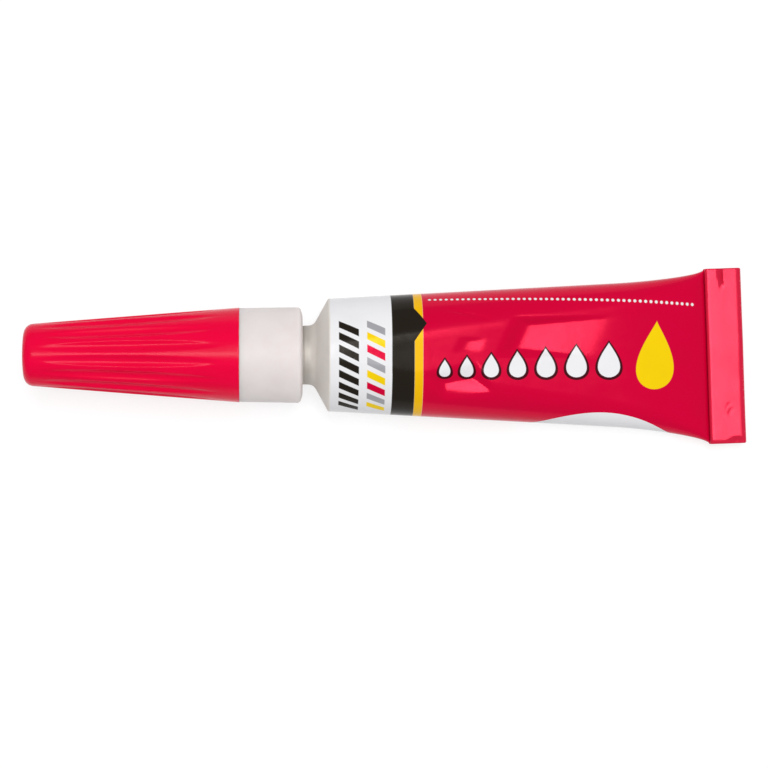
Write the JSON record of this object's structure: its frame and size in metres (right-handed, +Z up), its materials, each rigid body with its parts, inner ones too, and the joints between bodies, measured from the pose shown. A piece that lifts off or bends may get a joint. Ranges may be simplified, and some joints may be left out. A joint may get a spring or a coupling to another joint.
{
  "type": "glue tube",
  "caption": "Collapsible aluminium glue tube with a rolled tail seal, a screw-on nozzle whose spike pierces the neck's membrane, and a long fluted cap that comes off the spout.",
  "frame": {"origin": "on the table, below the middle of the tube as it lies on its flat belly", "axes": "+X from the cap to the folded tail, +Y across the tube, +Z up, out of the printed front"},
  "size_m": [0.0808, 0.0199, 0.013],
  "materials": {
    "printed_aluminium": "glossy printed lacquer",
    "sealing_compound": "matt",
    "bare_aluminium": "satin",
    "liquid_glue": "clear liquid",
    "white_plastic": "translucent satin",
    "red_plastic": "gloss"
  },
  "bodies": {
    "tube": {"tube": "printed_aluminium", "end_seal": "sealing_compound", "membrane": "bare_aluminium", "glue": "liquid_glue"},
    "nozzle": {"nozzle": "white_plastic"},
    "cap": {"cap": "red_plastic"}
  },
  "joints": [
    {"name": "nozzle_screw", "type": "slide", "parent": "tube", "child": "nozzle", "axis": [-0.9953, 0, 0.0963], "range_m": [-0.0018, 0.012], "deforming": ["membrane"]},
    {"name": "cap_pull", "type": "slide", "parent": "nozzle", "child": "cap", "axis": [-0.9953, 0, 0.0963], "range_m": [0, 0.026]}
  ]
}
